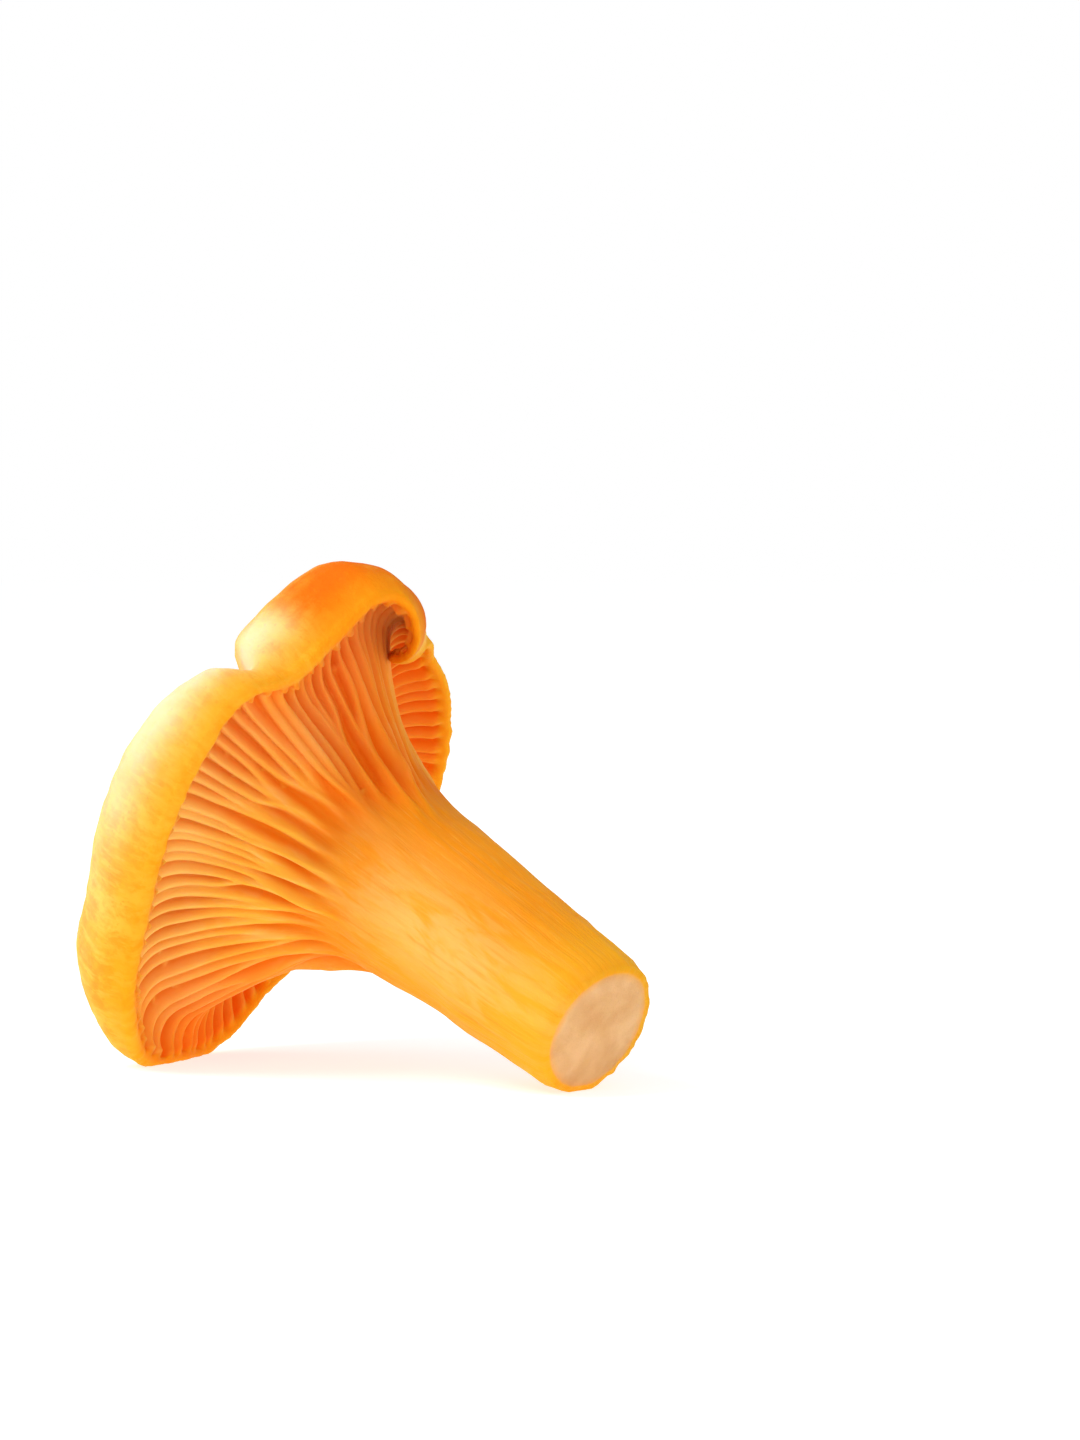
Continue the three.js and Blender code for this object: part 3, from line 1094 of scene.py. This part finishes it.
@dataclass(frozen=True)
class FleshFinish:
    """Matt, slightly waxy egg-yellow flesh: skin, gills, stem and cut in one finish."""

    gold: Colour = srgb(249, 174, 26)
    straw: Colour = srgb(252, 200, 70)
    # Pale cream: partly the shoulder's own paler skin, partly a painted highlight.
    cloud: Colour = srgb(253, 232, 184)
    # Amber: the cap's own blotches and streaks, and painted shade in the hollow.
    amber: Colour = srgb(245, 154, 14)
    # Brown: the cap's own freckles, and painted shade in the middle of the hollow.
    freckle_and_shade: Colour = srgb(226, 128, 18)
    band: Colour = srgb(247, 162, 16)
    crest: Colour = srgb(249, 182, 62)
    # Deeper orange than the crests, for the valleys: painted shade.
    valley: Colour = srgb(238, 134, 20)
    # Pale: mottle on the crests, and painted light on the gills next to the lip.
    pale: Colour = srgb(251, 204, 116)
    # Deep orange of the thin lobes' gills: painted shade, with painted light shining through
    # the thin flesh.
    ember: Colour = srgb(247, 124, 0)
    # Orange painted shade on the upper fold, on the gills and stem near the curl, and on the
    # band by the lip.
    glow: Colour = srgb(238, 112, 4)
    stem: Colour = srgb(247, 164, 24)
    peach: Colour = srgb(248, 191, 98)
    # Rust orange: the stem's own streaks and more orange top, and painted shade on the side
    # near the curl.
    rust: Colour = srgb(238, 134, 8)
    lemon: Colour = srgb(250, 182, 30)
    cream: Colour = srgb(231, 184, 130)
    tan: Colour = srgb(213, 159, 102)
    rind: Colour = srgb(243, 162, 46)

    def _cap(self, bench: Bench) -> Wire:
        """Colour of the cap's skin: gold, clouded with straw, amber towards the lip, with
        painted shade in the hollow and on the upper fold and a pale shoulder that is partly a
        painted highlight.
        """
        clouds = bench.speckle(bench.place("fibre", 5.0, 9.0), 3.0, 0.55, 0.3)
        pale = bench.speckle(bench.place("grown", 2.6), 4.0, 0.68, 0.3)
        streaks = bench.speckle(bench.place("fibre", 0.6, 3.0), 3.0, 0.66)
        fine = bench.speckle(bench.place("grown", 0.4), 3.0, 0.65)
        dots = bench.cells(bench.place("grown", 0.9))
        hollow = bench.mark("hollow").eased(0.05, 0.6)
        worn = 1 - bench.mark("hollow").eased(0.0, 0.3) * 0.6
        tone = bench.blend(clouds.eased(0.34, 0.7), self.gold, self.straw)
        tone = bench.blend(pale.eased(0.42, 0.64) * worn * 0.95, tone, self.amber)
        tone = bench.blend(streaks.eased(0.46, 0.68) * 0.65, tone, self.straw)
        tone = bench.blend((1 - streaks.eased(0.28, 0.5)) * 0.45, tone, self.amber)
        specks = (1 - dots.eased(0.05, 0.3)) * fine.eased(0.42, 0.55)
        tone = bench.blend(specks * worn * 0.5, tone, self.freckle_and_shade)
        # Pale cream on the shoulder: partly the skin's own paler colour, partly a painted
        # highlight on one side.
        shoulder = bench.mark("shoulder") * (0.2 + clouds + pale * 0.5)
        tone = bench.blend(shoulder, tone, self.cloud)
        # Painted shade: the hollow darkens to amber and its middle to brown, to show its
        # depth.
        tone = bench.blend(hollow * 0.6, tone, self.amber)
        middle = bench.mark("hollow").eased(0.5, 1.0)
        tone = bench.blend(middle * 0.5, tone, self.freckle_and_shade)
        # Painted shade, orange, on the upper fold near the lip.
        cap_shade = bench.mark("cap_shade") * (0.5 + pale)
        tone = bench.blend(cap_shade, tone, self.glow)
        return bench.blend(bench.mark("lip") * 0.7, tone, self.band)

    def _gills(self, bench: Bench) -> Wire:
        """Colour of the gilled underside: pale crests over deep orange valleys, whose deeper
        orange is painted shade, with painted light on the gills next to the lip and orange
        painted shade near the curl and on the thin lobes, there with painted light shining
        through.
        """
        crest = bench.mark("crest")
        mottle = bench.speckle(bench.place("fibre", 1.2, 5.0), 3.0, 0.6)
        # The valleys' deeper orange is painted shade.
        tone = bench.blend(crest.eased(0.1, 0.9), self.valley, self.crest)
        tone = bench.blend(mottle.eased(0.45, 0.7) * crest * 0.5, tone, self.pale)
        # Painted light: paler gills next to the lip, most on the crests.
        tone = bench.blend(bench.mark("rimward") * (0.15 + crest * 0.6), tone, self.pale)
        # Painted shade, orange, near the curl.
        tone = bench.blend(bench.mark("orange_shade") * 0.75, tone, self.glow)
        # Painted shade with painted light shining through, on the thin lobes.
        return bench.blend(bench.mark("far") * 0.75, tone, self.ember)

    def _stem(self, bench: Bench) -> Wire:
        """Colour of the stem: orange, yellower below, with a pale worn side and orange
        painted shade on the side near the curl.
        """
        streaks = bench.speckle(bench.place("fibre", 1.3, 11.0), 3.0, 0.6, 0.2)
        patches = bench.speckle(bench.place("fibre", 5.0, 9.0), 3.0, 0.55, 0.9)
        fibres = bench.speckle(bench.place("fibre", 0.5, 4.0), 3.0, 0.65)
        up = self._height(bench)
        high = up.eased(19.0, 30.0)
        low = 1 - up.eased(1.0, 12.0)
        worn = bench.mark("worn") * (0.2 + patches.eased(0.36, 0.6) * 0.8)
        tone = bench.blend(worn, self.stem, self.peach)
        tone = bench.blend(streaks.eased(0.5, 0.72) * 0.35, tone, self.rust)
        # Painted shade, rust orange, on the side near the curl.
        orange_shade = bench.mark("orange_shade") * 0.55
        tone = bench.blend(high * 0.4, tone, self.rust)
        tone = bench.blend(orange_shade, tone, self.rust)
        tone = bench.blend(fibres.eased(0.5, 0.75) * 0.3, tone, self.peach)
        return bench.blend(low * 0.5, tone, self.lemon)

    def _height(self, bench: Bench) -> Wire:
        """Height above the cut, in millimetres."""
        parted = bench.lay("ShaderNodeSeparateXYZ", None, {0: bench.place("grown")})
        return Wire(bench, parted.outputs[2])

    def _cut(self, bench: Bench) -> Wire:
        """Colour of the cut: cream and tan flesh, orange next to the skin."""
        clouds = bench.speckle(bench.place("grown", 4.5), 3.0, 0.5, 0.3)
        fine = bench.speckle(bench.place("grown", 0.35), 3.0, 0.6)
        tone = bench.blend(clouds.eased(0.3, 0.72), self.tan, self.cream)
        tone = bench.blend(fine.eased(0.5, 0.8) * 0.3, tone, self.cream)
        reach = bench.mark("cut") + clouds * -0.2
        return bench.blend(1 - reach.eased(-0.14, 0.1), tone, self.rind)

    def _relief(self, bench: Bench, is_cut: Wire, cap: Wire) -> Wire:
        """Fine relief, in millimetres."""
        felt = bench.speckle(bench.place("grown", 0.3), 4.0, 0.65)
        skin = bench.speckle(bench.place("fibre", 0.8, 2.4), 3.0, 0.6)
        fibres = bench.speckle(bench.place("fibre", 0.45, 6.0), 3.0, 0.6)
        inside = 1 - cap
        on_cap = cap * (felt * 0.08 + skin * 0.18)
        plain = 1 - bench.mark("gilled") * 0.75
        on_stem = inside * (1 - is_cut) * (plain * fibres * 0.13 + felt * 0.03)
        on_cut = is_cut * felt * 0.08
        return on_cap + on_stem + on_cut

    def material(self) -> bpy.types.Material:
        """Build the material."""
        material = bpy.data.materials.new("chanterelle_flesh")
        material.use_nodes = True
        bench = Bench(material.node_tree)
        is_cut = bench.mark("is_cut").eased(0.35, 0.65)
        cap = bench.mark("cap")
        gilled = bench.mark("gilled").eased(0.0, 0.9)
        tone = bench.blend(gilled, self._stem(bench), self._gills(bench))
        # Painted shade, orange, on the band by the lip near the curl.
        band = bench.blend(bench.mark("orange_shade") * 0.8, self.band, self.glow)
        tone = bench.blend(bench.mark("lip"), tone, band)
        tone = bench.blend(cap.eased(0.1, 0.9), tone, self._cap(bench))
        tone = bench.blend(is_cut, tone, self._cut(bench))
        patches = bench.speckle(bench.place("grown", 2.4), 2.0)
        rough = 0.46 + patches * 0.2 + is_cut * 0.12 + cap * 0.06
        bump = bench.lay(
            "ShaderNodeBump",
            None,
            {
                "Height": self._relief(bench, is_cut, cap),
                "Distance": MM,
                "Strength": 0.9,
            },
        )
        shader = bench.lay(
            "ShaderNodeBsdfPrincipled",
            {"subsurface_method": "RANDOM_WALK"},
            {
                "Base Color": tone,
                "Roughness": rough,
                "Normal": Wire(bench, bump.outputs[0]),
                "IOR": 1.4,
                "Specular IOR Level": 0.08,
                "Subsurface Weight": 0.45,
                "Subsurface Radius": (1.0, 0.5, 0.15),
                "Subsurface Scale": 0.0016,
            },
        )
        bench.lay(
            "ShaderNodeOutputMaterial", None, {0: Wire(bench, shader.outputs[0])}
        )
        return material


@dataclass(frozen=True)
class TableFinish:
    """Even white, a little lit from below like a light table."""

    colour: Colour = (0.66, 0.67, 0.7)
    glow: float = 0.63

    def material(self) -> bpy.types.Material:
        """Build the material."""
        material = bpy.data.materials.new("table_white")
        material.use_nodes = True
        bench = Bench(material.node_tree)
        shader = bench.lay(
            "ShaderNodeBsdfPrincipled",
            None,
            {
                "Base Color": (*self.colour, 1.0),
                "Roughness": 0.9,
                "Specular IOR Level": 0.0,
                "Emission Color": (1.0, 1.0, 1.0, 1.0),
                "Emission Strength": self.glow,
            },
        )
        bench.lay(
            "ShaderNodeOutputMaterial", None, {0: Wire(bench, shader.outputs[0])}
        )
        return material


@dataclass(frozen=True)
class SkyFinish:
    """White surroundings that light the mushroom less than they show."""

    shown: float = 1.0
    lighting: float = 0.56

    def world(self) -> bpy.types.World:
        """Build the world."""
        world = bpy.data.worlds.new("sky")
        world.use_nodes = True
        bench = Bench(world.node_tree)
        path = bench.lay("ShaderNodeLightPath")
        seen = Wire(bench, path.outputs["Is Camera Ray"])
        sky = bench.lay(
            "ShaderNodeBackground",
            None,
            {0: (1.0, 1.0, 1.0, 1.0), 1: self.lighting + seen * (self.shown - self.lighting)},
        )
        bench.lay("ShaderNodeOutputWorld", None, {0: Wire(bench, sky.outputs[0])})
        return world


# --------------------------------------------------------------- studio


@dataclass(frozen=True)
class SoftBox:
    """A square soft light, aimed at the mushroom, in metres and watts."""

    name: str
    place: tuple[float, float, float]
    size: float
    power: float
    colour: Colour = (1.0, 1.0, 1.0)

    def light(self, target: Vector) -> None:
        """Hang the light."""
        lamp = bpy.data.lights.new(self.name, "AREA")
        lamp.size = self.size
        lamp.energy = self.power
        lamp.color = self.colour
        hung = bpy.data.objects.new(self.name, lamp)
        hung.location = self.place
        aim = target - Vector(self.place)
        hung.rotation_euler = aim.to_track_quat("-Z", "Y").to_euler()
        bpy.context.scene.collection.objects.link(hung)


@dataclass(frozen=True)
class Studio:
    """White table, soft lights and the camera."""

    floor_half: float = 6.0
    lens: float = 112.5
    sensor: float = 36.0
    eye: tuple[float, float, float] = (-5.74, -448.45, 48.49)
    dip: float = 2.23
    lights: tuple[SoftBox, ...] = (
        SoftBox("key", (-0.5, -0.25, 0.7), 0.35, 3.9, (1.0, 0.985, 0.95)),
        SoftBox("fill", (0.2, -0.75, 0.25), 0.5, 1.1, (1.0, 1.0, 1.0)),
        SoftBox("back", (-0.7, 0.45, 0.45), 0.4, 1.3, (1.0, 0.99, 0.97)),
    )

    def floor(self) -> bpy.types.Object:
        """Lay the white table."""
        bm = bmesh.new()
        bmesh.ops.create_grid(bm, x_segments=1, y_segments=1, size=self.floor_half)
        mesh = bpy.data.meshes.new("table")
        bm.to_mesh(mesh)
        bm.free()
        table = bpy.data.objects.new("table", mesh)
        mesh.materials.append(TableFinish().material())
        bpy.context.scene.collection.objects.link(table)
        return table

    def set_up(self, stem_foot: Vector) -> None:
        """Set lights, sky and camera.

        Args:
            stem_foot: middle of the stem's cut at rest, which the camera is placed from.
        """
        scene = bpy.context.scene
        for box in self.lights:
            box.light(Vector((0, 0, 0.025)))
        scene.world = SkyFinish().world()
        scene.view_settings.view_transform = "Standard"
        lens = bpy.data.cameras.new("eye")
        lens.lens = self.lens
        lens.sensor_width = self.sensor
        lens.clip_start, lens.clip_end = 0.01, 20.0
        camera = bpy.data.objects.new("eye", lens)
        camera.location = stem_foot + Vector(self.eye) * MM
        camera.rotation_euler = (math.radians(90 - self.dip), 0.0, 0.0)
        scene.collection.objects.link(camera)
        scene.camera = camera


def main() -> None:
    """Build the mushroom and the studio, and report each piece."""
    logging.basicConfig(level=logging.INFO, format="%(name)s: %(message)s")
    mushroom = Chanterelle()
    piece = mushroom.build()
    piece.data.materials.append(FleshFinish().material())
    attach(piece, "root")
    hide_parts("chanterelle")
    log.info("%s: %d faces", piece.name, len(piece.data.polygons))
    studio = Studio()
    table = studio.floor()
    log.info("%s laid", table.name)
    studio.set_up(mushroom.rest_point((0.0, 0.0, 0.0)))


if __name__ == "__main__":
    main()
